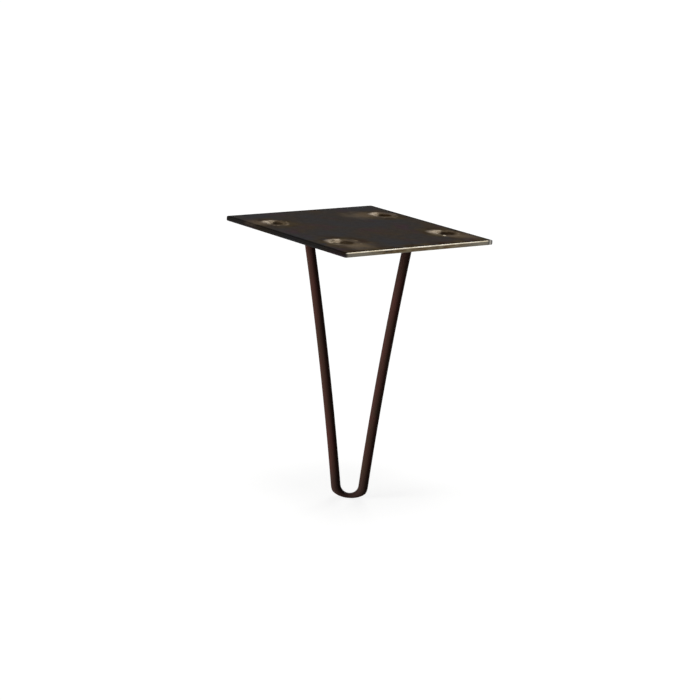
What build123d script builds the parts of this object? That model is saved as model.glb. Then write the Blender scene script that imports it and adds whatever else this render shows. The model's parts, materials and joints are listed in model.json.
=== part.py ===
from build123d import *
from math import asin, atan, atan2, degrees, hypot, sqrt
import os

# Mounting plate: a square of sheet steel, its top face against the underside of the table top
plate_side = 152.4
plate_thickness = 3.8
plate_corner_radius = 1.5
plate_edge_softening = 0.8

# Four screw holes in a rectangle, each rim dressed to a shallow dish on the top face
hole_spacing_x = 110.0
hole_spacing_y = 78.0
hole_diameter = 8.0
hole_dish_diameter = 14.0
hole_dish_angle = 130.0

# Hairpin rod: one round bar in a plane on the plate's diagonal. Its arms bow inwards a little,
# and above the spread that is given here each runs straight to the plate
rod_diameter = 7.94
rod_spread = 80.4
rod_end_height = 6.0
leg_height = 224.7
hairpin_turn = -45.0
bend_radius = 11.4
foot_offset = 8.2
arm_bow = 1.5

# Foot: the underside of the bend is dressed to a shallow crown
foot_thickness = 3.1
foot_crown_radius = 25.5

# Fillet weld round each rod end
weld_leg = 4.0
weld_crown = 0.4
weld_lip = 0.3

# The hairpin's own plane, with its X along the plate's diagonal and its Y upright
hairpin_plane = Plane.XZ.rotated((0, 0, hairpin_turn))
underside = Plane.XY.offset(-plate_thickness)
rod_radius = rod_diameter / 2
bend_inside = bend_radius - rod_radius
bend_height = bend_inside + foot_thickness - leg_height


# Degrees of bend from the foot's lowest point to where an arm leaves it, for a straight arm
# that reaches this far out and up from the bend's centre, plus the turn that bows it inwards
def bend_wrap(reach, rise):
    distance = hypot(reach, rise)
    arm_length = sqrt(distance**2 - bend_radius**2)
    straight_wrap = atan2(rise, reach) + asin(bend_radius / distance)
    bow_turn = 2 * atan(2 * arm_bow / arm_length)
    return degrees(straight_wrap + bow_turn)


arm_top = -plate_thickness - rod_end_height
arm_rise = arm_top - bend_height
left_wrap = bend_wrap(rod_spread / 2 + foot_offset, arm_rise)
right_wrap = bend_wrap(rod_spread / 2 - foot_offset, arm_rise)

with BuildPart() as mounting_plate:
    with BuildSketch(underside):
        RectangleRounded(plate_side, plate_side, plate_corner_radius)
    extrude(amount=plate_thickness)
    broad_faces = mounting_plate.faces().filter_by(Axis.Z)
    fillet(broad_faces.edges(), plate_edge_softening)
    with GridLocations(hole_spacing_x, hole_spacing_y, 2, 2):
        CounterSinkHole(
            radius=hole_diameter / 2,
            counter_sink_radius=hole_dish_diameter / 2,
            counter_sink_angle=hole_dish_angle,
        )

with BuildPart() as hairpin_rod:
    with BuildLine(hairpin_plane) as centreline:
        bend = CenterArc((foot_offset, bend_height), bend_radius, -90 - left_wrap, left_wrap + right_wrap)
        left_arm = TangentArc(bend @ 0, (-rod_spread / 2, arm_top), tangent=-(bend % 0))
        right_arm = TangentArc(bend @ 1, (rod_spread / 2, arm_top), tangent=bend % 1)
        # The straight ends run on to the top face's level, to be cut flush with the underside
        left_end = Line(left_arm @ 1, left_arm @ 1 - arm_top / (left_arm % 1).Z * (left_arm % 1))
        right_end = Line(right_arm @ 1, right_arm @ 1 - arm_top / (right_arm % 1).Z * (right_arm % 1))
    path = centreline.wires()[0]
    with BuildSketch(Plane(origin=path @ 0, z_dir=path % 0)):
        Circle(rod_radius)
    sweep(path=path)
    split(bisect_by=underside, keep=Keep.BOTTOM)
    # Dress the underside of the bend: all below the crown's arc goes
    with BuildSketch(hairpin_plane):
        with Locations((foot_offset, bend_height)):
            Rectangle(
                2 * (bend_radius + rod_diameter),
                bend_radius + rod_diameter,
                align=(Align.CENTER, Align.MAX),
            )
        with Locations((foot_offset, foot_crown_radius - leg_height)):
            Circle(foot_crown_radius, mode=Mode.SUBTRACT)
    extrude(amount=rod_diameter, both=True, mode=Mode.SUBTRACT)

os.makedirs("parts", exist_ok=True)
mounting_plate.part.label = "mounting_plate"
export_step(mounting_plate.part, "parts/mounting_plate.step")
hairpin_rod.part.label = "hairpin_rod"
export_step(hairpin_rod.part, "parts/hairpin_rod.step")

# Sections of a bead from the toe on the plate, over the crowned face, to the lip on the rod:
# how far down the rod each lies, and its width beyond the rod
bead_sections = (
    (0, weld_leg),
    (weld_leg / 2, (weld_leg + weld_lip) / 2 + weld_crown),
    (weld_leg, weld_lip),
)
for bead_name, rod_end in (("left_weld_bead", left_end), ("right_weld_bead", right_end)):
    bead_toe = rod_end @ (rod_end_height / -arm_top)
    with BuildPart() as weld_bead:
        for depth, width in bead_sections:
            with BuildSketch(Plane(bead_toe - depth * (rod_end % 1))):
                Circle(rod_radius + width)
        loft(ruled=True)
        add(hairpin_rod.part, mode=Mode.SUBTRACT)
    weld_bead.part.label = bead_name
    export_step(weld_bead.part, f"parts/{bead_name}.step")
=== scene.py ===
import json
from math import asin, atan, atan2, cos, hypot, pi, radians, sin, sqrt, tan

import bmesh
import bpy
from mathutils import Matrix, Vector


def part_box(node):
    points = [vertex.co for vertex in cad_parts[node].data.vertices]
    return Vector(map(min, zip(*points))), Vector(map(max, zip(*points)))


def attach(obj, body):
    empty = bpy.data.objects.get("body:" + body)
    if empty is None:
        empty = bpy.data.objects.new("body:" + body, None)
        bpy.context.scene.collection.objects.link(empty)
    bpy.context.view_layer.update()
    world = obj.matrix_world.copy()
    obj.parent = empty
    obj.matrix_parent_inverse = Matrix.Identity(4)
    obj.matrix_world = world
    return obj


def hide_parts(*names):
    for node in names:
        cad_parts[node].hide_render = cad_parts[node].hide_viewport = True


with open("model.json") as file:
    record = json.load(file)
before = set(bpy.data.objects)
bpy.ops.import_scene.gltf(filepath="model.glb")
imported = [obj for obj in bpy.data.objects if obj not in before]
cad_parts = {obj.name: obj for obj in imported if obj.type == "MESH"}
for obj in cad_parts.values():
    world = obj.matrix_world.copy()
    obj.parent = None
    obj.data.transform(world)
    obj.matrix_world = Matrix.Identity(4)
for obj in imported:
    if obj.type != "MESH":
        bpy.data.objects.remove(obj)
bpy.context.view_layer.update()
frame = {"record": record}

mm = 0.001  # sizes below are in millimetres, Blender works in metres
noiseMean = 0.5  # a noise texture's values lie round this


# sRGB hex to the linear colour that Blender's sockets hold
def toLinear(hexColour):
    channels = [int(hexColour[i:i + 2], 16) / 255 for i in (1, 3, 5)]
    return [c / 12.92 if c <= 0.04045 else ((c + 0.055) / 1.055) ** 2.4 for c in channels] + [1.0]


# a texture's scale for marks of about this many millimetres
def scaleFor(markSize):
    return 1 / (markSize * mm)


# adds one node: inputs are values, sockets or whole nodes to link, stops are a colour ramp's
# (place, hex colour) pairs, and settings are the node's own properties
def addNode(tree, kind, inputs=None, stops=(), **settings):
    node = tree.nodes.new(kind)
    for name, value in settings.items():
        setattr(node, name, value)
    for key, value in (inputs or {}).items():
        if isinstance(key, str):
            socket = next(s for s in node.inputs if s.enabled and s.name == key)
        else:
            socket = node.inputs[key]
        if isinstance(value, bpy.types.Node):
            value = next(s for s in value.outputs if s.enabled)
        if isinstance(value, bpy.types.NodeSocket):
            tree.links.new(value, socket)
        else:
            socket.default_value = value
    for place, _ in stops[2:]:
        node.color_ramp.elements.new(place)  # a new ramp has two
    for i, (place, hexColour) in enumerate(stops):
        node.color_ramp.elements[i].position = place
        node.color_ramp.elements[i].color = toLinear(hexColour)
    return node


def startMaterial(name):
    material = bpy.data.materials.new(name)
    material.use_nodes = True
    tree = material.node_tree
    tree.nodes.clear()
    return material, tree


# starts a geometry tree with named inputs, and returns it with the sockets they come in by
def startTree(name, inputs):
    tree = bpy.data.node_groups.new(name, "GeometryNodeTree")
    tree.interface.new_socket("Geometry", in_out="OUTPUT", socket_type="NodeSocketGeometry")
    for label, kind in inputs.items():
        tree.interface.new_socket(label, in_out="INPUT", socket_type="NodeSocket" + kind)
    return tree, addNode(tree, "NodeGroupInput").outputs


# ends a geometry tree: real faces only, in the piece's material
def endTree(tree, geometry, material):
    realized = addNode(tree, "GeometryNodeRealizeInstances", {"Geometry": geometry})
    painted = addNode(tree, "GeometryNodeSetMaterial", {"Geometry": realized, "Material": material})
    addNode(tree, "NodeGroupOutput", {"Geometry": painted})


# runs a tree on a starting mesh and leaves a plain piece that stands for its CAD node
def makePiece(name, start, tree, values, node):
    piece = bpy.data.objects.new(name, start)
    bpy.context.scene.collection.objects.link(piece)
    modifier = piece.modifiers.new(name, "NODES")
    modifier.node_group = tree
    for socket in tree.interface.items_tree:
        if socket.in_out == "INPUT" and socket.name in values:
            modifier[socket.identifier] = values[socket.name]
    evaluated = piece.evaluated_get(bpy.context.evaluated_depsgraph_get())
    finished = bpy.data.meshes.new_from_object(evaluated)
    piece.modifiers.remove(modifier)
    piece.data = finished
    shell = bmesh.new()
    shell.from_mesh(finished)
    bmesh.ops.recalc_face_normals(shell, faces=shell.faces)
    shell.to_mesh(finished)
    shell.free()
    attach(piece, "root")
    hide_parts(node)
    print(f"{name}: {len(finished.polygons)} faces")


# Mounting plate

boltPattern = next(m for m in frame["record"]["mounts"] if m["kind"] == "bolt_pattern")["dims"]
plateLow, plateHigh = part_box("mounting_plate")
plate = {
    "side": (plateHigh.x - plateLow.x) / mm,
    "thickness": (plateHigh.z - plateLow.z) / mm,
    "cornerRadius": 1.5,
    "cornerSteps": 8,
    "edgeSoftening": 0.8,
    "softeningSteps": 6,
    "spacingX": boltPattern["spacing_x_mm"],
    "spacingY": boltPattern["spacing_y_mm"],
    "holeRadius": boltPattern["hole_r_mm"],
    "holeSides": 96,
    "dishRadius": 7.0,
    "dishAngle": 130,
    "rimSoftening": 0.7,
    "rimWobble": 0.7,       # how far the hand-dressed rims stray from a true circle
    "wobbleSize": 7.0,
    "wobbleDetail": 1,
    "seamGap": 0.002,       # seams up to this wide are closed
    "flatness": 0.9995,     # a face that looks up or down by more than this is shaded flat

    # where a grinding disc was drawn over each hole, in mm along its stroke: it came on bright, ground metal
    # with a painted highlight, and the bright ends at the turn;
    # what follows is brown under painted shade that reaches to the dark end, and a thin rim, part wear and
    # part painted highlight, runs round to the end.
    # A fainter smear lies so far off in x and y. The values on a mark's second line are shares
    "stroke": (0.76, -0.65),
    "marks": [  # of the front, left, right and back hole
        {"start": -9.6, "turn": 2.5, "darkEnd": 15.0, "end": 20.0, "smear": (6, -15), "smearSize": 23,
         "polishAndHighlight": 1.0, "paintedShade": 0.74, "brown": 0.4, "rim": 0.6},
        {"start": -12.0, "turn": -1.5, "darkEnd": 7.5, "end": 11.0, "smear": (-12, 7), "smearSize": 16,
         "polishAndHighlight": 0.95, "paintedShade": 0.62, "brown": 0.3, "rim": 0.8},
        {"start": -13.0, "turn": -1.5, "darkEnd": 11.0, "end": 14.0, "smear": (9, -14), "smearSize": 20,
         "polishAndHighlight": 0.95, "paintedShade": 0.8, "brown": 0.3, "rim": 0.6},
        {"start": -11.0, "turn": -1.0, "darkEnd": 10.0, "end": 15.0, "smear": (-17, 4), "smearSize": 22,
         "polishAndHighlight": 0.95, "paintedShade": 0.86, "brown": 0.45, "rim": 0.5},
    ],

    # a fade is where it starts and where it ends, then what it is there if that isn't 0 and 1
    "finish": {
        "patterns": {       # the size of a pattern's marks in mm, its detail and its roughness
            "clouds": (48, 4, 0.6),
            "blushes": (27, 4, 0.6),
            "specks": (5, 6, 0.7),
            "stains": (12, 4, 0.6),
            "stainTints": (18, 4, 0.6),
            "outlines": (8, 4, 0.6),
            "smears": (14, 4, 0.6),
            "rims": (6, 4, 0.6),
            "streaks": (9, 4, 0.6),
            "glints": (7, 3, 0.6),
            "grain": (1.6, 4, 0.6),
        },
        "edgePatterns": {   # the same for those that run along the front edge
            "mottles": (4, 4, 0.6),
            "highlightMarks": (5, 4, 0.6),
        },
        "edgeStretch": (0.35, 1, 1.4),
        "cloudTints": ((0.36, "#3A393B"), (0.5, "#3C3835"), (0.64, "#423930")),  # from cold to warm
        "blush": "#42333A",                 # plum patches
        "blushFade": (0.52, 0.68, 0.0, 0.65),
        "speckFade": (0.3, 0.7, 0.85, 1.15),
        "stainTints": ((0.42, "#36291C"), (0.58, "#4A3F2B")),  # brown oil on the coat
        "stainReach": (2.1, 1.0, 0.0, 0.75),  # round a ground mark, in radii of it
        "stainEdge": (15, 4, 0.0, 0.9),     # in from the front edge
        "stainGaps": (0.3, 0.55),
        "paintedShadeTint": "#614A00",               # the tint of the painted shade in and beside the holes, which dims the colour
        "rubbed": "#786855",
        "polishedHighlight": "#978873",
        "mirror": 0.38,                     # how metallic the polished patches with their painted highlight are
        "outlineStray": 6,                  # how far a mark's outline strays
        "smearStray": 26,
        "slimness": 1.02,                   # a ground mark's length by its width
        "discFade": (1.13, 0.66),           # a ground mark's border, in radii of it, as are the next two
        "rimOuter": (1.12, 1.0),
        "rimInner": (0.8, 0.95),
        "rimGaps": (0.38, 0.62),
        "rimPolishAndHighlight": 0.4,
        "turnBlur": 1.5,                    # half the width of the turn from bright to dark
        "farSide": (3, -9, 1.0, 0.3),       # the polish and its painted highlight die away towards the near side of a mark
        "smearCore": 0.1,                   # where a smear is strongest, in radii of it
        "smearWear": 0.5,
        "dishShadeDepth": (0.1, 0.5),            # how far down the painted shade in a dish starts
        "dishShadeLap": (2, 1),                  # how far it reaches past the dish's rim
        "shadeSlimness": 0.9,                # the painted shade spreads wider than it is long
        "shadeLap": 2.0,                     # how far it reaches back past the turn
        "shadeFade": (1.1, 0.6),
        "streakFade": (0.18, 0.45),         # gaps in the wear
        "glintFade": (0.2, 0.56),           # gaps in the polish and its painted highlight
        "wearDepth": (2.4, 1.4),            # no wear further down than this
        "paintedGlint": (49.6, -47.6),              # a painted glint, a small bright spot near the right hole
        "paintedGlintFade": (2.1, 1.05),
        "paintedGlintBright": 0.6,
        "edgeDark": 0.72,                   # how much darker the coat is on the edges, and the painted shade just inside them
        "edgePale": 0.6,                    # how much of that is left at the bottom of the edges
        "edgeTop": (0.6, 1.2),              # down from the top, where the edges start
        "edgeBottom": (0.1, 0.5),           # up from the bottom, where they end
        "lineFade": (4, 1),                 # in from the edges, where the painted shade runs
        "bareFront": (0.75, 0.35),          # the bare front edge, painted lighter as if lit: in from the front, the left and the right
        "bareLeft": (-0.8, 3.2),
        "bareRight": (0.2, 0.9),
        "arrisDepth": (0.9, 0.45),          # its painted arris highlight: down from the top, in from the right
        "arrisEnd": (4.5, 6.5),
        "highlightTints": ((0.35, "#CFC3AA"), (0.6, "#F2EBDC")),
        "mottleTints": ((0.33, "#2F281E"), (0.46, "#5A4A34"), (0.56, "#665D4A"), (0.68, "#82785F")),
        "endGrey": "#6E6A61",               # towards both ends of the front edge
        "endFade": (28, 64, 0.0, 0.75),
        "cornerLightBands": ((0.1, "#6E6A61"), (0.4, "#4B4842"), (0.68, "#A9A69E"), (0.9, "#504E4B")),
        "cornerFade": (8, 0),               # painted highlight and shade bands round the right corner
        "cornerStart": (0.0, 0.1),
        "roughness": (0.75, 0.45),          # of the coat and of bare metal
        "grainStrength": 0.25,
        "grainDepth": 0.1,
    },
}
holeCentres = [
    Vector((across * plate["spacingX"] / 2, along * plate["spacingY"] / 2))
    for across in (-1, 1) for along in (-1, 1)
]  # front, left, right and back hole


# blackened hot-rolled steel, oiled: a dull brown-black skin, clouded in warm and cold greys, ground back to
# tan bare metal round the holes and along the front edge, with painted highlights on the ground metal, the
# front arris and a glint, and painted shade in and beside the holes
def blackenedSteel():
    look = plate["finish"]
    half = plate["side"] / 2
    stroke = Vector(plate["stroke"])
    material, tree = startMaterial("blackenedSteel")
    place = addNode(tree, "ShaderNodeTexCoord").outputs["Object"]
    edgePlace = addNode(tree, "ShaderNodeMapping", {"Vector": place, "Scale": look["edgeStretch"]})
    patterns = {
        name: addNode(tree, "ShaderNodeTexNoise", {
            "Vector": places, "Scale": scaleFor(size), "Detail": detail, "Roughness": roughness})
        for places, kinds in ((place, look["patterns"]), (edgePlace, look["edgePatterns"]))
        for name, (size, detail, roughness) in kinds.items()
    }

    # places in millimetres, and how far in from the edges and down from the top they are
    spot = addNode(tree, "ShaderNodeVectorMath", {0: place, "Scale": 1 / mm}, operation="SCALE")
    axes = addNode(tree, "ShaderNodeSeparateXYZ", {"Vector": spot}).outputs
    fromLeft = addNode(tree, "ShaderNodeMath", {0: half, 1: axes["X"]}, operation="ADD")
    fromRight = addNode(tree, "ShaderNodeMath", {0: half, 1: axes["X"]}, operation="SUBTRACT")
    fromFront = addNode(tree, "ShaderNodeMath", {0: half, 1: axes["Y"]}, operation="ADD")
    spread = addNode(tree, "ShaderNodeVectorMath", {0: spot}, operation="ABSOLUTE")
    spread = addNode(tree, "ShaderNodeSeparateXYZ", {"Vector": spread}).outputs
    furthest = addNode(tree, "ShaderNodeMath", {0: spread["X"], 1: spread["Y"]}, operation="MAXIMUM")
    fromEdge = addNode(tree, "ShaderNodeMath", {0: half, 1: furthest}, operation="SUBTRACT")
    fromTop = spread["Z"]
    fromBottom = addNode(tree, "ShaderNodeMath", {0: plate["thickness"], 1: fromTop}, operation="SUBTRACT")

    def combined(operation, masks):
        whole, *others = masks
        for mask in others:
            whole = addNode(tree, "ShaderNodeMath", {0: whole, 1: mask}, operation=operation)
        return whole

    # where all parts hold: a part is a mask, a share, or a value with its fade
    def allOf(*parts):
        masks = []
        for part in parts:
            if isinstance(part, tuple):
                value, start, end, first, last = part if len(part) > 3 else (*part, 0.0, 1.0)
                part = addNode(tree, "ShaderNodeMapRange", {
                    "Value": value, "From Min": start, "From Max": end, "To Min": first, "To Max": last,
                }, interpolation_type="SMOOTHSTEP")
            masks.append(part)
        return combined("MULTIPLY", masks)

    # where any of these masks holds
    def anyOf(*masks):
        return combined("MAXIMUM", masks)

    # colours laid over a ground one after another, each where its mask holds
    def layered(ground, *layers):
        for mask, colour in layers:
            ground = addNode(tree, "ShaderNodeMix", {"Factor": mask, "A": ground, "B": colour},
                             data_type="RGBA")
        return ground

    # clouds in the blackening, from a palm to a fingertip wide, with fine specks
    coat = addNode(tree, "ShaderNodeValToRGB", {"Fac": patterns["clouds"]}, stops=look["cloudTints"])
    coat = layered(coat, (allOf((patterns["blushes"], *look["blushFade"])), toLinear(look["blush"])))
    low, high, dark, light = look["speckFade"]
    speck = addNode(tree, "ShaderNodeMapRange", {
        "Value": patterns["specks"], "From Min": low, "From Max": high, "To Min": dark, "To Max": light})
    coat = addNode(tree, "ShaderNodeVectorMath", {0: coat, 1: speck}, operation="MULTIPLY")

    # places on the flat of the plate, pushed about so that outlines measured from them are ragged
    def raggedPlace(pattern, stray):
        push = addNode(tree, "ShaderNodeVectorMath",
                       {0: pattern.outputs["Color"], 1: [noiseMean] * 3}, operation="SUBTRACT")
        moved = addNode(tree, "ShaderNodeVectorMath",
                        {0: push, 1: (stray, stray, 0), 2: spot}, operation="MULTIPLY_ADD")
        return addNode(tree, "ShaderNodeVectorMath", {0: moved, 1: (1, 1, 0)}, operation="MULTIPLY")

    markPlace = raggedPlace(patterns["outlines"], look["outlineStray"])
    smearPlace = raggedPlace(patterns["smears"], look["smearStray"])

    # how far places lie from a point: along the stroke, beside it, and in all. The slimmer the mark, the
    # further away is what lies beside
    def fromPoint(point, places, slimness):
        away = addNode(tree, "ShaderNodeVectorMath", {0: places, 1: (*point, 0)}, operation="SUBTRACT")
        along, beside = (
            addNode(tree, "ShaderNodeVectorMath", {0: away, 1: (*line, 0)},
                    operation="DOT_PRODUCT").outputs["Value"]
            for line in (stroke, stroke.orthogonal() * slimness))
        both = addNode(tree, "ShaderNodeCombineXYZ", {"X": along, "Y": beside})
        distance = addNode(tree, "ShaderNodeVectorMath", {0: both}, operation="LENGTH").outputs["Value"]
        return along, beside, distance

    # how far places lie from the middle of a mark, in radii of it, where the mark is between two places on
    # the stroke through a hole
    def reachIn(hole, start, end, slimness):
        distance = fromPoint(hole + (start + end) / 2 * stroke, markPlace, slimness)[2]
        return addNode(tree, "ShaderNodeMath", {0: distance, 1: (end - start) / 2}, operation="DIVIDE")

    gaps = allOf((patterns["rims"], *look["rimGaps"]))
    polishAndHighlight = worn = paintedShade = stain = 0.0
    for hole, mark in zip(holeCentres, plate["marks"]):
        along, beside, _ = fromPoint(hole, markPlace, look["slimness"])
        reach = reachIn(hole, mark["start"], mark["end"], look["slimness"])
        disc = allOf((reach, *look["discFade"]))
        before, after = mark["turn"] - look["turnBlur"], mark["turn"] + look["turnBlur"]
        turned = allOf((along, before, after))
        # a thin rim round the dark half, part wear and part painted highlight
        rim = allOf((reach, *look["rimOuter"]), (reach, *look["rimInner"]), turned, gaps, mark["rim"])
        # the bright half: ground metal with a painted highlight, as on a dish wall that catches the light
        bright = allOf(disc, (along, after, before), (beside, *look["farSide"]), mark["polishAndHighlight"])
        polishAndHighlight = anyOf(polishAndHighlight, bright, allOf(rim, look["rimPolishAndHighlight"]))

        smearReach = fromPoint(hole + Vector(mark["smear"]), smearPlace, look["slimness"])[2]
        smearCore = look["smearCore"] * mark["smearSize"]
        smear = allOf((smearReach, mark["smearSize"], smearCore), look["smearWear"])
        worn = anyOf(worn, rim, smear, allOf(disc, mark["brown"]))
        stain = anyOf(stain, allOf((reach, *look["stainReach"])))

        # painted shade past the turn: down in the dish, and in a dark pool that reaches on beyond the hole
        outer, inner = (look["slimness"] * plate["dishRadius"] + lap for lap in look["dishShadeLap"])
        fromHole = fromPoint(hole, spot, look["slimness"])[2]
        dishShade = allOf((fromTop, *look["dishShadeDepth"]), (fromHole, outer, inner), turned)
        shadeReach = reachIn(hole, mark["turn"] - look["shadeLap"], mark["darkEnd"], look["shadeSlimness"])
        shadePool = allOf((shadeReach, *look["shadeFade"]))
        paintedShade = anyOf(paintedShade, allOf(anyOf(dishShade, shadePool), mark["paintedShade"]))

    upper = allOf((fromTop, *look["wearDepth"]))
    streak = allOf((patterns["streaks"], *look["streakFade"]))
    worn = allOf(anyOf(worn, polishAndHighlight), streak, upper)
    polishAndHighlight = allOf(polishAndHighlight, streak, (patterns["glints"], *look["glintFade"]), upper)
    paintedShade = allOf(paintedShade, upper)
    # the painted glint near the right hole
    fromPaintedGlint = fromPoint(Vector(look["paintedGlint"]), markPlace, look["slimness"])[2]
    paintedGlint = allOf((fromPaintedGlint, *look["paintedGlintFade"]), upper, look["paintedGlintBright"])
    stain = anyOf(stain, allOf((fromFront, *look["stainEdge"])))
    stain = allOf(stain, (patterns["stains"], *look["stainGaps"]), upper)
    stained = addNode(tree, "ShaderNodeValToRGB", {"Fac": patterns["stainTints"]}, stops=look["stainTints"])
    coat = layered(coat, (stain, stained))

    # the edges are darker than the faces, most of all at the top, and just inside them on the top runs a line
    # of painted shade, the arris's shadow
    nearTop, below = look["edgeTop"]
    darkness = addNode(tree, "ShaderNodeMapRange", {
        "Value": fromTop, "From Min": below, "From Max": plate["thickness"] - nearTop,
        "To Min": look["edgeDark"], "To Max": look["edgeDark"] * look["edgePale"]})
    side = allOf((fromTop, nearTop, below), darkness, (fromBottom, *look["edgeBottom"]))
    line = allOf((fromEdge, *look["lineFade"]), (fromTop, below, nearTop), look["edgeDark"])
    shade = addNode(tree, "ShaderNodeMath", {0: 1.0, 1: anyOf(side, line)}, operation="SUBTRACT")
    # the painted shade dims the coat and the bare metal alike
    paintedShading = layered(toLinear("#FFFFFF"), (paintedShade, toLinear(look["paintedShadeTint"])))
    for dimming in (paintedShading, shade):
        coat = addNode(tree, "ShaderNodeVectorMath", {0: coat, 1: dimming}, operation="MULTIPLY")

    # the front edge is bare and painted lighter than the other edges: its arris a painted highlight, its side
    # dull and brassy with dark mottles, greyer at the ends, with painted highlight and shade bands round the
    # right corner
    bareLitEdge = allOf(
        (fromFront, *look["bareFront"]),
        (fromRight, *look["bareRight"]),
        (fromLeft, *look["bareLeft"]))
    arrisHighlight = allOf(bareLitEdge, (fromTop, *look["arrisDepth"]), (fromRight, *look["arrisEnd"]))
    mottle = addNode(tree, "ShaderNodeValToRGB", {"Fac": patterns["mottles"]}, stops=look["mottleTints"])
    highlight = addNode(tree, "ShaderNodeValToRGB", {"Fac": patterns["highlightMarks"]}, stops=look["highlightTints"])
    turning = allOf((fromRight, *look["cornerFade"]))
    cornerLight = addNode(tree, "ShaderNodeValToRGB", {"Fac": turning}, stops=look["cornerLightBands"])
    mottle = layered(
        mottle,
        (allOf((spread["X"], *look["endFade"])), toLinear(look["endGrey"])),
        (allOf((turning, *look["cornerStart"])), cornerLight))

    bare = layered(toLinear(look["rubbed"]), (polishAndHighlight, toLinear(look["polishedHighlight"])))
    bare = addNode(tree, "ShaderNodeVectorMath", {0: bare, 1: paintedShading}, operation="MULTIPLY")
    # the painted highlights of the arris and the glint lie over everything else
    colour = layered(coat, (worn, bare), (bareLitEdge, mottle), (anyOf(arrisHighlight, paintedGlint), highlight))
    metal = anyOf(allOf(anyOf(polishAndHighlight, paintedGlint), look["mirror"]), bareLitEdge)
    roughness = addNode(tree, "ShaderNodeMapRange", {
        "Value": metal, "To Min": look["roughness"][0], "To Max": look["roughness"][1]})
    bump = addNode(tree, "ShaderNodeBump", {
        "Height": patterns["grain"], "Strength": look["grainStrength"], "Distance": look["grainDepth"] * mm})
    shader = addNode(tree, "ShaderNodeBsdfPrincipled", {
        "Base Color": colour, "Metallic": metal, "Roughness": roughness,
        "Specular IOR Level": 0.0, "Normal": bump})
    addNode(tree, "ShaderNodeOutputMaterial", {"Surface": shader})
    return material


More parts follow.
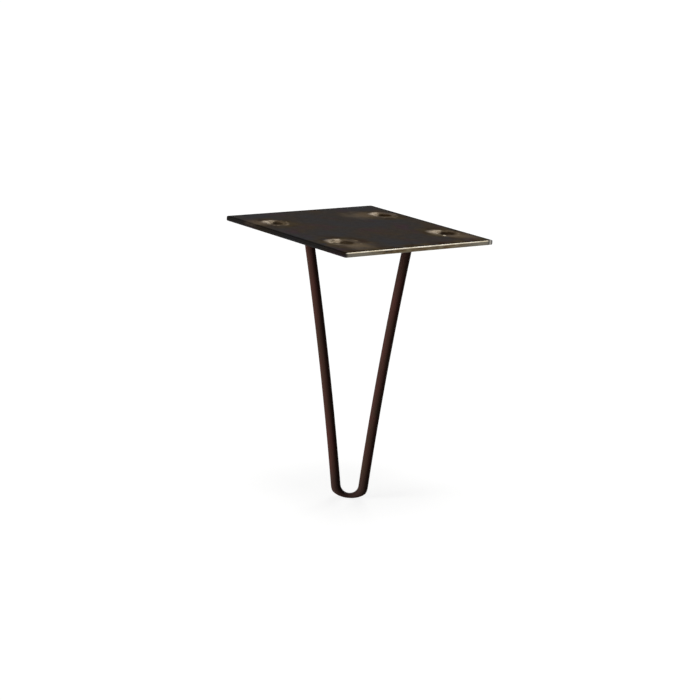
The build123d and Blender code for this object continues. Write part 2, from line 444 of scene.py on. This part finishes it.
# the sheet is its edge strip and four hole linings, swept, with a flat face filled in above and below
def plateTree():
    tree, given = startTree("plateTree", {
        "Side": "Float", "Thickness": "Float", "Corner Radius": "Float", "Edge Softening": "Float",
        "Spacing X": "Float", "Spacing Y": "Float", "Hole Radius": "Float", "Dish Width": "Float",
        "Dish Depth": "Float", "Rim Softening": "Float", "Rim Wobble": "Float", "Wobble Size": "Float",
        "Material": "Material",
    })
    side, thickness, dishWidth = given["Side"], given["Thickness"], given["Dish Width"]
    softening, rimSoftening = given["Edge Softening"], given["Rim Softening"]
    inset = addNode(tree, "ShaderNodeMath", {0: softening, 1: -1.0}, operation="MULTIPLY")
    rimEnd = addNode(tree, "ShaderNodeMath", {0: dishWidth, 1: rimSoftening}, operation="ADD")

    # a section's points are (outwards, down) from the line that it is swept along
    edgePoints = ((inset, 0.0), (0.0, 0.0), (0.0, thickness), (inset, thickness))
    holePoints = ((rimEnd, 0.0), (dishWidth, 0.0), (0.0, given["Dish Depth"]), (0.0, thickness))
    outline = addNode(tree, "GeometryNodeCurvePrimitiveQuadrilateral", {"Width": side, "Height": side})
    outline = addNode(tree, "GeometryNodeFilletCurve", {
        "Curve": outline, "Radius": given["Corner Radius"], "Count": plate["cornerSteps"]}, mode="POLY")
    circle = addNode(tree, "GeometryNodeCurvePrimitiveCircle", {
        "Resolution": plate["holeSides"], "Radius": given["Hole Radius"]})
    strips = []
    for path, points, rounding in ((outline, edgePoints, softening), (circle, holePoints, rimSoftening)):
        section = addNode(tree, "GeometryNodeCurvePrimitiveQuadrilateral", mode="POINTS")
        for i, (outwards, down) in enumerate(points):
            corner = addNode(tree, "ShaderNodeCombineXYZ", {"X": outwards, "Y": down})
            tree.links.new(corner.outputs[0], section.inputs[f"Point {i + 1}"])
        opened = addNode(tree, "GeometryNodeSetSplineCyclic", {"Geometry": section, "Cyclic": False})
        softened = addNode(tree, "GeometryNodeFilletCurve", {
            "Curve": opened, "Radius": rounding, "Limit Radius": True, "Count": plate["softeningSteps"],
        }, mode="POLY")
        upright = addNode(tree, "GeometryNodeSetCurveNormal", {"Curve": path}, mode="Z_UP")
        strips.append(addNode(tree, "GeometryNodeCurveToMesh", {"Curve": upright, "Profile Curve": softened}))

    # the hole lining at each screw place, its rim pushed about by a slow noise that dies out below
    places = addNode(tree, "GeometryNodeMeshGrid", {
        "Size X": given["Spacing X"], "Size Y": given["Spacing Y"], "Vertices X": 2, "Vertices Y": 2})
    holes = addNode(tree, "GeometryNodeInstanceOnPoints", {"Points": places, "Instance": strips[1]})
    holes = addNode(tree, "GeometryNodeRealizeInstances", {"Geometry": holes})
    position = addNode(tree, "GeometryNodeInputPosition")
    height = addNode(tree, "ShaderNodeSeparateXYZ", {"Vector": position}).outputs["Z"]
    depthShare = addNode(tree, "ShaderNodeMath", {0: height, 1: thickness}, operation="DIVIDE")
    topShare = addNode(tree, "ShaderNodeMath", {0: depthShare, 1: 1.0}, operation="ADD")
    scale = addNode(tree, "ShaderNodeMath", {0: 1.0, 1: given["Wobble Size"]}, operation="DIVIDE")
    drift = addNode(tree, "ShaderNodeTexNoise", {
        "Vector": position, "Scale": scale, "Detail": plate["wobbleDetail"]})
    drift = addNode(tree, "ShaderNodeVectorMath",
                    {0: drift.outputs["Color"], 1: [noiseMean] * 3}, operation="SUBTRACT")
    drift = addNode(tree, "ShaderNodeVectorMath", {0: drift, 1: (1, 1, 0)}, operation="MULTIPLY")
    amount = addNode(tree, "ShaderNodeMath", {0: topShare, 1: given["Rim Wobble"]}, operation="MULTIPLY")
    drift = addNode(tree, "ShaderNodeVectorMath", {0: drift, "Scale": amount}, operation="SCALE")
    holes = addNode(tree, "GeometryNodeSetPosition", {"Geometry": holes, "Offset": drift})
    walls = addNode(tree, "GeometryNodeJoinGeometry")
    for strip in (strips[0], holes):
        tree.links.new(strip.outputs[0], walls.inputs[0])

    # each flat face fills the open rims at its own level
    neighbours = addNode(tree, "GeometryNodeInputMeshEdgeNeighbors")
    rimOnly = addNode(tree, "FunctionNodeCompare", {"A": neighbours, "B": 1},
                      data_type="INT", operation="EQUAL")
    whole = addNode(tree, "GeometryNodeJoinGeometry", {"Geometry": walls})
    halfway = -0.5  # of the thickness, down from the top
    for operation, level in (("GREATER_THAN", 0.0), ("LESS_THAN", -1.0)):
        atLevel = addNode(tree, "FunctionNodeCompare", {"A": depthShare, "B": halfway}, operation=operation)
        chosen = addNode(tree, "FunctionNodeBooleanMath", {0: rimOnly, 1: atLevel}, operation="AND")
        rims = addNode(tree, "GeometryNodeMeshToCurve", {"Mesh": walls, "Selection": chosen})
        filled = addNode(tree, "GeometryNodeFillCurve", {"Curve": rims}, mode="TRIANGLES")
        drop = addNode(tree, "ShaderNodeMath", {0: thickness, 1: level}, operation="MULTIPLY")
        shift = addNode(tree, "ShaderNodeCombineXYZ", {"Z": drop})
        face = addNode(tree, "GeometryNodeTransform", {"Geometry": filled, "Translation": shift})
        tree.links.new(face.outputs[0], whole.inputs[0])
    sealed = addNode(tree, "GeometryNodeMergeByDistance", {
        "Geometry": whole, "Distance": plate["seamGap"] * mm})

    # only the rounded strips are shaded smooth
    facing = addNode(tree, "ShaderNodeSeparateXYZ", {"Vector": addNode(tree, "GeometryNodeInputNormal")})
    upness = addNode(tree, "ShaderNodeMath", {0: facing.outputs["Z"]}, operation="ABSOLUTE")
    curved = addNode(tree, "FunctionNodeCompare", {"A": upness, "B": plate["flatness"]},
                     operation="LESS_THAN")
    smooth = addNode(tree, "GeometryNodeSetShadeSmooth", {"Geometry": sealed, "Shade Smooth": curved})
    endTree(tree, smooth, given["Material"])
    return tree


dishWidth = plate["dishRadius"] - plate["holeRadius"]
makePiece("mountingPlate", bpy.data.meshes.new("mountingPlate"), plateTree(), {
    "Side": plate["side"] * mm,
    "Thickness": plate["thickness"] * mm,
    "Corner Radius": plate["cornerRadius"] * mm,
    "Edge Softening": plate["edgeSoftening"] * mm,
    "Spacing X": plate["spacingX"] * mm,
    "Spacing Y": plate["spacingY"] * mm,
    "Hole Radius": plate["holeRadius"] * mm,
    "Dish Width": dishWidth * mm,
    "Dish Depth": dishWidth / tan(radians(plate["dishAngle"] / 2)) * mm,
    "Rim Softening": plate["rimSoftening"] * mm,
    "Rim Wobble": plate["rimWobble"] * mm,
    "Wobble Size": plate["wobbleSize"] * mm,
    "Material": blackenedSteel(),
}, "mounting_plate")


# Hairpin rod

rodLow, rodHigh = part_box("hairpin_rod")
hairpin = {
    "rodDiameter": 7.94,
    "spread": 80.4,
    "endHeight": 6.0,       # straight length at the top of each arm
    "legHeight": -rodLow.z / mm,
    "turn": -45,            # degrees from +X to the plane that the rod is bent in
    "bendRadius": 11.4,
    "footOffset": 8.2,
    "armBow": 1.5,
    "footThickness": 3.1,
    "crownRadius": 25.5,
    "ringSpacing": 1.5,     # twice as close in the bend
    "sides": 80,
    "skinRelief": 0.05,
    "skinMark": 5.0,
    "skinDetail": 2,
    "finish": {
        "patches": (7, 4, 0.35),  # the size of the marks in mm, their detail and their stretch along the bar
        "patchTints": ((0.32, "#413128"), (0.68, "#4D2E2A")),  # olive to red
        "foot": "#3C2D28",  # duller towards the foot
        "footHeights": (-196, -214),
        "footShare": 0.85,
        "lines": (0.9, 3, 0.03),
        "patternRoughness": 0.6,
        "lineFade": (0.3, 0.7, 0.86, 1.14),
        "lineStrength": 0.2,
        "lineDepth": 0.05,
        "roughness": (0.42, 0.62),
        "specular": 0.02,
    },
}
rodRadius = hairpin["rodDiameter"] / 2
bendHeight = hairpin["bendRadius"] - rodRadius + hairpin["footThickness"] - hairpin["legHeight"]
diagonal = Vector((cos(radians(hairpin["turn"])), sin(radians(hairpin["turn"])), 0))
underside = rodHigh.z / mm


# one half of the rod's centreline, from the foot's lowest point up to the plate, as (out, up) from
# the bend's centre: the bend, an arm that bows inwards, and a straight end. Also its last heading
def halfPath(reach):
    rise = underside - hairpin["endHeight"] - bendHeight
    distance = hypot(reach, rise)
    armLength = sqrt(distance ** 2 - hairpin["bendRadius"] ** 2)
    wrap = atan2(rise, reach) + asin(hairpin["bendRadius"] / distance)
    wrap += 2 * atan(2 * hairpin["armBow"] / armLength)
    steps = round(wrap * hairpin["bendRadius"] / hairpin["ringSpacing"] * 2)
    angles = [wrap * i / steps for i in range(1, steps + 1)]
    points = [hairpin["bendRadius"] * Vector((sin(a), -cos(a))) for a in angles]
    leaving = points[-1]
    chord = Vector((reach, rise)) - leaving
    turn = 2 * (atan2(chord.y, chord.x) - wrap)
    armRadius = chord.length / (2 * sin(turn / 2))
    steps = round(armLength / hairpin["ringSpacing"])
    for i in range(1, steps + 1):
        heading = wrap + turn * i / steps
        points.append(leaving + armRadius * Vector((sin(heading) - sin(wrap), cos(wrap) - cos(heading))))
    upright = Vector((cos(heading), sin(heading))) / sin(heading)
    for share in (0.5, 1.0):
        points.append(Vector((reach, rise)) + share * hairpin["endHeight"] * upright)
    return points, upright


# a point of the hairpin's plane as a place in the frame, in metres
def onPlane(along, up):
    return (along * diagonal + Vector((0, 0, up))) * mm


halves = {side: halfPath(hairpin["spread"] / 2 - side * hairpin["footOffset"]) for side in (-1, 1)}
centreline = [(-p.x, p.y) for p in reversed(halves[-1][0])]
centreline += [(0, -hairpin["bendRadius"])]
centreline += [(p.x, p.y) for p in halves[1][0]]
route = [onPlane(hairpin["footOffset"] + x, bendHeight + y) for x, y in centreline]
routeMesh = bpy.data.meshes.new("hairpinRoute")
routeMesh.from_pydata(route, [(i, i + 1) for i in range(len(route) - 1)], [])


# mild steel bar under dark brown lacquer: satin, with drawn lines and faint red and olive patches
def brownLacquer():
    look = hairpin["finish"]
    material, tree = startMaterial("brownLacquer")
    bar = addNode(tree, "ShaderNodeAttribute", attribute_name="straightBar").outputs["Vector"]
    patches, lines = (
        addNode(tree, "ShaderNodeTexNoise", {
            "Vector": addNode(tree, "ShaderNodeMapping", {"Vector": bar, "Scale": (1, 1, stretch)}),
            "Scale": scaleFor(size), "Detail": detail, "Roughness": look["patternRoughness"]})
        for size, detail, stretch in (look["patches"], look["lines"]))
    tone = addNode(tree, "ShaderNodeValToRGB", {"Fac": patches}, stops=look["patchTints"])

    place = addNode(tree, "ShaderNodeTexCoord").outputs["Object"]
    height = addNode(tree, "ShaderNodeSeparateXYZ", {"Vector": place}).outputs["Z"]
    start, end = look["footHeights"]
    foot = addNode(tree, "ShaderNodeMapRange", {
        "Value": height, "From Min": start * mm, "From Max": end * mm, "To Max": look["footShare"],
    }, interpolation_type="SMOOTHSTEP")
    tone = addNode(tree, "ShaderNodeMix", {"Factor": foot, "A": tone, "B": toLinear(look["foot"])},
                   data_type="RGBA")
    low, high, dark, light = look["lineFade"]
    level = addNode(tree, "ShaderNodeMapRange", {
        "Value": lines, "From Min": low, "From Max": high, "To Min": dark, "To Max": light})
    colour = addNode(tree, "ShaderNodeVectorMath", {0: tone, 1: level}, operation="MULTIPLY")

    roughness = addNode(tree, "ShaderNodeMapRange", {
        "Value": patches, "To Min": look["roughness"][0], "To Max": look["roughness"][1]})
    bump = addNode(tree, "ShaderNodeBump", {
        "Height": lines, "Strength": look["lineStrength"], "Distance": look["lineDepth"] * mm})
    shader = addNode(tree, "ShaderNodeBsdfPrincipled", {
        "Base Color": colour, "Roughness": roughness, "Specular IOR Level": look["specular"], "Normal": bump})
    addNode(tree, "ShaderNodeOutputMaterial", {"Surface": shader})
    return material


# a round bar swept along its centreline, cut flush with the plate and dressed to a crown at the foot
def rodTree():
    tree, given = startTree("rodTree", {
        "Geometry": "Geometry", "Rod Radius": "Float", "Sides": "Int", "Underside": "Float",
        "Crown Radius": "Float", "Crown Centre": "Vector", "Diagonal": "Vector",
        "Skin Relief": "Float", "Skin Mark": "Float", "Material": "Material",
    })
    path = addNode(tree, "GeometryNodeMeshToCurve", {"Mesh": given["Geometry"]})
    path = addNode(tree, "GeometryNodeCaptureAttribute", {"Geometry": path})
    profile = addNode(tree, "GeometryNodeCurvePrimitiveCircle", {
        "Resolution": given["Sides"], "Radius": given["Rod Radius"]})
    profile = addNode(tree, "GeometryNodeCaptureAttribute", {"Geometry": profile})
    for capture, kind, label, source in (
        (path, "VECTOR", "Heading", addNode(tree, "GeometryNodeInputTangent").outputs[0]),
        (path, "BOOLEAN", "End", addNode(tree, "GeometryNodeCurveEndpointSelection").outputs[0]),
        (path, "FLOAT", "Length", addNode(tree, "GeometryNodeSplineParameter").outputs["Length"]),
        (profile, "VECTOR", "Round", addNode(tree, "GeometryNodeInputPosition").outputs[0]),
    ):
        capture.capture_items.new(kind, label)
        tree.links.new(source, capture.inputs[label])
    heading, isEnd, length = (path.outputs[label] for label in ("Heading", "End", "Length"))
    bar = addNode(tree, "GeometryNodeCurveToMesh", {
        "Curve": path, "Profile Curve": profile, "Fill Caps": True})

    # where each point lay on the bar before it was bent, for the lacquer's marks
    ring = addNode(tree, "ShaderNodeSeparateXYZ", {"Vector": profile.outputs["Round"]}).outputs
    straight = addNode(tree, "ShaderNodeCombineXYZ", {"X": ring["X"], "Y": ring["Y"], "Z": length})
    bar = addNode(tree, "GeometryNodeStoreNamedAttribute", {
        "Geometry": bar, "Name": "straightBar", "Value": straight}, data_type="FLOAT_VECTOR")

    # the rolled skin is a little uneven
    scale = addNode(tree, "ShaderNodeMath", {0: 1.0, 1: given["Skin Mark"]}, operation="DIVIDE")
    uneven = addNode(tree, "ShaderNodeTexNoise", {
        "Vector": straight, "Scale": scale, "Detail": hairpin["skinDetail"]})
    height = addNode(tree, "ShaderNodeMath", {0: uneven, 1: noiseMean}, operation="SUBTRACT")
    height = addNode(tree, "ShaderNodeMath", {0: height, 1: given["Skin Relief"]}, operation="MULTIPLY")
    normal = addNode(tree, "GeometryNodeInputNormal")
    swell = addNode(tree, "ShaderNodeVectorMath", {0: normal, "Scale": height}, operation="SCALE")
    bar = addNode(tree, "GeometryNodeSetPosition", {"Geometry": bar, "Offset": swell})

    # slide the end rings along the bar to the plate
    position = addNode(tree, "GeometryNodeInputPosition")
    axes = addNode(tree, "ShaderNodeSeparateXYZ", {"Vector": position}).outputs
    short = addNode(tree, "ShaderNodeMath", {0: given["Underside"], 1: axes["Z"]}, operation="SUBTRACT")
    climb = addNode(tree, "ShaderNodeSeparateXYZ", {"Vector": heading}).outputs["Z"]
    ahead = addNode(tree, "ShaderNodeMath", {0: short, 1: climb}, operation="DIVIDE")
    slide = addNode(tree, "ShaderNodeVectorMath", {0: heading, "Scale": ahead}, operation="SCALE")
    bar = addNode(tree, "GeometryNodeSetPosition", {"Geometry": bar, "Selection": isEnd, "Offset": slide})

    # what lies below the crown's arc comes up to it
    centre = given["Crown Centre"]
    away = addNode(tree, "ShaderNodeVectorMath", {0: position, 1: centre}, operation="SUBTRACT")
    along = addNode(tree, "ShaderNodeVectorMath", {0: away, 1: given["Diagonal"]}, operation="DOT_PRODUCT")
    along = addNode(tree, "ShaderNodeMath", {0: along.outputs["Value"], 1: 2.0}, operation="POWER")
    square = addNode(tree, "ShaderNodeMath", {0: given["Crown Radius"], 1: 2.0}, operation="POWER")
    dip = addNode(tree, "ShaderNodeMath", {0: square, 1: along}, operation="SUBTRACT")
    dip = addNode(tree, "ShaderNodeMath", {0: dip}, operation="SQRT")
    centreHeight = addNode(tree, "ShaderNodeSeparateXYZ", {"Vector": centre}).outputs["Z"]
    floorLine = addNode(tree, "ShaderNodeMath", {0: centreHeight, 1: dip}, operation="SUBTRACT")
    level = addNode(tree, "ShaderNodeMath", {0: axes["Z"], 1: floorLine}, operation="MAXIMUM")
    dressed = addNode(tree, "ShaderNodeCombineXYZ", {"X": axes["X"], "Y": axes["Y"], "Z": level})
    bar = addNode(tree, "GeometryNodeSetPosition", {"Geometry": bar, "Position": dressed})
    endTree(tree, bar, given["Material"])
    return tree


makePiece("hairpinRod", routeMesh, rodTree(), {
    "Rod Radius": rodRadius * mm,
    "Sides": hairpin["sides"],
    "Underside": underside * mm,
    "Crown Radius": hairpin["crownRadius"] * mm,
    "Crown Centre": onPlane(hairpin["footOffset"], hairpin["crownRadius"] - hairpin["legHeight"]),
    "Diagonal": diagonal,
    "Skin Relief": hairpin["skinRelief"] * mm,
    "Skin Mark": hairpin["skinMark"] * mm,
    "Material": brownLacquer(),
}, "hairpin_rod")


# Weld beads

weld = {
    "leg": 4.0,
    "lip": 0.3,
    "crown": 0.4,
    "crownSteps": 10,
    "seat": 0.08,           # how far the bead's back is sunk into the rod
    "ripples": 22,
    "ripplePoints": 9,
    "rippleDepth": 0.09,    # as a share of the bead's size, like the unevenness
    "ripplePower": 0.4,     # under 1, a ripple rises fast and then levels off
    "unevenness": 0.16,     # how much the bead swells and shrinks as it goes round
    "unevenSize": 4.0,
    "unevenDetail": 1,
    "crescent": 14,         # degrees that a ripple's middle lags behind its ends
    "finish": {
        "tintSize": 3,
        "tintDetail": 4,
        "tints": ((0.35, "#35261F"), (0.65, "#49302B")),
        "roughness": 0.5,
        "specular": 0.02,
        "foldStrength": 0.4,
        "foldDepth": 0.1,
    },
}


# a fillet weld under the same lacquer: overlapping ripples, a little darker and redder in the folds
def lacqueredWeld():
    look = weld["finish"]
    material, tree = startMaterial("lacqueredWeld")
    place = addNode(tree, "ShaderNodeTexCoord").outputs["Object"]
    folds = addNode(tree, "ShaderNodeTexNoise", {
        "Vector": place, "Scale": scaleFor(look["tintSize"]), "Detail": look["tintDetail"]})
    tone = addNode(tree, "ShaderNodeValToRGB", {"Fac": folds}, stops=look["tints"])
    bump = addNode(tree, "ShaderNodeBump", {
        "Height": folds, "Strength": look["foldStrength"], "Distance": look["foldDepth"] * mm})
    shader = addNode(tree, "ShaderNodeBsdfPrincipled", {
        "Base Color": tone, "Roughness": look["roughness"], "Specular IOR Level": look["specular"],
        "Normal": bump})
    addNode(tree, "ShaderNodeOutputMaterial", {"Surface": shader})
    return material


# the bead's section swept round the rod, swelling and shrinking with each ripple, then leaned with the rod
def beadTree():
    tree, given = startTree("beadTree", {
        "Geometry": "Geometry", "Rod Radius": "Float", "Leg": "Float", "Ripples": "Int", "Points": "Int",
        "Ripple Depth": "Float", "Ripple Power": "Float", "Unevenness": "Float", "Uneven Size": "Float",
        "Crescent": "Float", "Lean": "Vector", "Toe": "Vector", "Material": "Material",
    })
    ripples, depth, toe = given["Ripples"], given["Ripple Depth"], given["Toe"]
    section = addNode(tree, "GeometryNodeMeshToCurve", {"Mesh": given["Geometry"]})
    points = addNode(tree, "ShaderNodeMath", {0: ripples, 1: given["Points"]}, operation="MULTIPLY")
    ring = addNode(tree, "GeometryNodeCurvePrimitiveCircle", {
        "Resolution": points, "Radius": given["Rod Radius"]})
    ring = addNode(tree, "GeometryNodeSetCurveNormal", {"Curve": ring}, mode="Z_UP")
    turn = addNode(tree, "GeometryNodeSplineParameter").outputs["Factor"]
    beat = addNode(tree, "ShaderNodeMath", {0: turn, 1: ripples}, operation="MULTIPLY")
    beat = addNode(tree, "ShaderNodeMath", {0: beat}, operation="FRACT")
    rise = addNode(tree, "ShaderNodeMath", {0: beat, 1: given["Ripple Power"]}, operation="POWER")
    swell = addNode(tree, "ShaderNodeMath", {0: rise, 1: depth, 2: 1.0}, operation="MULTIPLY_ADD")
    swell = addNode(tree, "ShaderNodeMath", {0: swell, 1: depth}, operation="SUBTRACT")
    position = addNode(tree, "GeometryNodeInputPosition")
    seat = addNode(tree, "ShaderNodeVectorMath", {0: position, 1: toe}, operation="ADD")
    scale = addNode(tree, "ShaderNodeMath", {0: 1.0, 1: given["Uneven Size"]}, operation="DIVIDE")
    uneven = addNode(tree, "ShaderNodeTexNoise", {
        "Vector": seat, "Scale": scale, "Detail": weld["unevenDetail"]})
    uneven = addNode(tree, "ShaderNodeMath", {0: uneven, 1: noiseMean}, operation="SUBTRACT")
    swell = addNode(tree, "ShaderNodeMath", {0: uneven, 1: given["Unevenness"], 2: swell},
                    operation="MULTIPLY_ADD")
    bead = addNode(tree, "GeometryNodeCurveToMesh", {
        "Curve": ring, "Profile Curve": section, "Scale": swell})

    # a ripple's middle lags behind its ends, then the whole bead is sheared to the rod's lean
    height = addNode(tree, "ShaderNodeSeparateXYZ", {"Vector": position}).outputs["Z"]
    share = addNode(tree, "ShaderNodeMath", {0: height, 1: given["Leg"]}, operation="DIVIDE")
    other = addNode(tree, "ShaderNodeMath", {0: share, 1: 1.0}, operation="ADD")
    middle = addNode(tree, "ShaderNodeMath", {0: share, 1: other}, operation="MULTIPLY")
    lag = addNode(tree, "ShaderNodeMath", {0: middle, 1: given["Crescent"]}, operation="MULTIPLY")
    curled = addNode(tree, "ShaderNodeVectorRotate", {"Vector": position, "Angle": lag},
                     rotation_type="Z_AXIS")
    bead = addNode(tree, "GeometryNodeSetPosition", {"Geometry": bead, "Position": curled})
    leaned = addNode(tree, "ShaderNodeVectorMath", {0: given["Lean"], "Scale": height}, operation="SCALE")
    shift = addNode(tree, "ShaderNodeVectorMath", {0: leaned, 1: toe}, operation="ADD")
    bead = addNode(tree, "GeometryNodeSetPosition", {"Geometry": bead, "Offset": shift})
    endTree(tree, bead, given["Material"])
    return tree


# the bead's section as (outwards, down) from the rod and the plate: over the crown, then back along the rod
def beadSection():
    points = []
    for i in range(weld["crownSteps"] + 1):
        share = i / weld["crownSteps"]
        straight = weld["leg"] + (weld["lip"] - weld["leg"]) * share
        bulge = 4 * share * (1 - share)  # 1 at the middle
        points.append((straight + weld["crown"] * bulge, weld["leg"] * share))
    points += [(-weld["seat"], weld["leg"]), (-weld["seat"], 0)]
    mesh = bpy.data.meshes.new("beadSection")
    loop = [(i, (i + 1) % len(points)) for i in range(len(points))]
    mesh.from_pydata([(x * mm, y * mm, 0) for x, y in points], loop, [])
    return mesh


weldTree, weldFinish = beadTree(), lacqueredWeld()
for side, name in ((-1, "left"), (1, "right")):
    points, upright = halves[side]
    makePiece(name + "WeldBead", beadSection(), weldTree, {
        "Rod Radius": rodRadius * mm,
        "Leg": weld["leg"] * mm,
        "Ripples": weld["ripples"],
        "Points": weld["ripplePoints"],
        "Ripple Depth": weld["rippleDepth"],
        "Ripple Power": weld["ripplePower"],
        "Unevenness": weld["unevenness"],
        "Uneven Size": weld["unevenSize"] * mm,
        "Crescent": 4 * radians(weld["crescent"]),  # the tree multiplies it by a quarter at the middle
        "Lean": diagonal * side * upright.x,
        "Toe": onPlane(hairpin["footOffset"] + side * points[-1].x, underside),
        "Material": weldFinish,
    }, name + "_weld_bead")


# Camera, at the photograph's viewing angle

view = {
    "azimuth": -40.433,     # degrees, like the next two
    "elevation": 13.694,
    "roll": 4.383,
    "distance": 1.8392,     # metres
    "focal": 2297.2,        # pixels, in a square image
    "imageSize": 700,
    "target": (359.15, 227.89),  # the pixel where the plate's top centre is seen
    "sensor": 36,           # millimetres
}


# the way from the object to a camera or lamp at this azimuth and elevation, in degrees
def towards(azimuth, elevation):
    a, e = radians(azimuth), radians(elevation)
    return Vector((sin(a) * cos(e), -cos(a) * cos(e), sin(e)))


def makeCamera():
    azimuth, roll = radians(view["azimuth"]), radians(view["roll"])
    back = towards(view["azimuth"], view["elevation"])
    right = Vector((cos(azimuth), sin(azimuth), 0))
    up = back.cross(right)
    across = cos(roll) * right + sin(roll) * up
    upward = cos(roll) * up - sin(roll) * right
    pixel = view["distance"] / view["focal"]
    shiftX = (view["target"][0] - view["imageSize"] / 2) * pixel
    shiftY = (view["imageSize"] / 2 - view["target"][1]) * pixel
    data = bpy.data.cameras.new("camera")
    data.sensor_width = view["sensor"]
    data.lens = view["focal"] * view["sensor"] / view["imageSize"]
    camera = bpy.data.objects.new("camera", data)
    place = view["distance"] * back - shiftX * across - shiftY * upward
    axes = Matrix((across, upward, back)).transposed()
    camera.matrix_world = Matrix.Translation(place) @ axes.to_4x4()
    bpy.context.scene.collection.objects.link(camera)
    bpy.context.scene.camera = camera
    print("camera in place")


makeCamera()


# Floor and light

studio = {
    "floorSize": 12.0,      # metres
    "floorShade": "#8A8A89",
    "floorGlow": 0.84,      # keeps the paper white wherever it is looked at
    "bounce": "#5C5C5C",    # its shade to the light that bounces off it
    "dimSky": 0.03,         # the world's share of white, to what it lights
    "lamps": {              # azimuth, elevation and width in degrees, share of white
        "key": (-102, 12, 30, 0.82),
        "top": (-60, 84, 25, 0.39),
        "back": (130, 22, 36, 0.62),
        "under": (-110, -70, 30, 0.55),
    },
}


# 1 where the camera, a reflection or glass looks, 0 where only light falls
def lookedAt(tree):
    ray = addNode(tree, "ShaderNodeLightPath").outputs
    seen = ray["Is Camera Ray"]
    for kind in ("Is Glossy Ray", "Is Transmission Ray"):
        seen = addNode(tree, "ShaderNodeMath", {0: seen, 1: ray[kind]}, operation="MAXIMUM")
    return seen


# pale paper: white to the eye and in reflections, with the object's own soft shadow on it
def palePaper():
    material, tree = startMaterial("palePaper")
    seen = lookedAt(tree)
    bounce, shade = toLinear(studio["bounce"]), toLinear(studio["floorShade"])
    colour = addNode(tree, "ShaderNodeMix", {"Factor": seen, "A": bounce, "B": shade}, data_type="RGBA")
    paper = addNode(tree, "ShaderNodeBsdfDiffuse", {"Color": colour})
    glow = addNode(tree, "ShaderNodeMath", {0: seen, 1: studio["floorGlow"]}, operation="MULTIPLY")
    lit = addNode(tree, "ShaderNodeEmission", {"Strength": glow})
    both = addNode(tree, "ShaderNodeAddShader", {0: paper, 1: lit})
    fromBelow = addNode(tree, "ShaderNodeNewGeometry").outputs["Backfacing"]
    clear = addNode(tree, "ShaderNodeBsdfTransparent")
    oneSided = addNode(tree, "ShaderNodeMixShader", {0: fromBelow, 1: both, 2: clear})
    addNode(tree, "ShaderNodeOutputMaterial", {"Surface": oneSided})
    return material


def makeStudio():
    half = studio["floorSize"] / 2
    level = rodLow.z
    mesh = bpy.data.meshes.new("floor")
    corners = [(-half, -half, level), (half, -half, level), (half, half, level), (-half, half, level)]
    mesh.from_pydata(corners, [], [(0, 1, 2, 3)])
    mesh.materials.append(palePaper())
    floor = bpy.data.objects.new("floor", mesh)
    floor.visible_shadow = False  # the lamp below shines through it
    bpy.context.scene.collection.objects.link(floor)

    world = bpy.data.worlds.new("studio")
    world.use_nodes = True
    tree = world.node_tree
    tree.nodes.clear()
    strength = addNode(tree, "ShaderNodeMapRange", {
        "Value": lookedAt(tree), "To Min": studio["dimSky"], "To Max": 1.0})
    sky = addNode(tree, "ShaderNodeBackground", {"Color": (1, 1, 1, 1), "Strength": strength})
    addNode(tree, "ShaderNodeOutputWorld", {"Surface": sky})
    bpy.context.scene.world = world

    for name, (azimuth, elevation, width, share) in studio["lamps"].items():
        data = bpy.data.lights.new(name, "SUN")
        data.angle = radians(width)
        data.energy = share * pi
        lamp = bpy.data.objects.new(name, data)
        lamp.rotation_euler = towards(azimuth, elevation).to_track_quat("Z", "Y").to_euler()
        bpy.context.scene.collection.objects.link(lamp)
    bpy.context.scene.view_settings.view_transform = "Standard"
    print("floor and light in place")


makeStudio()
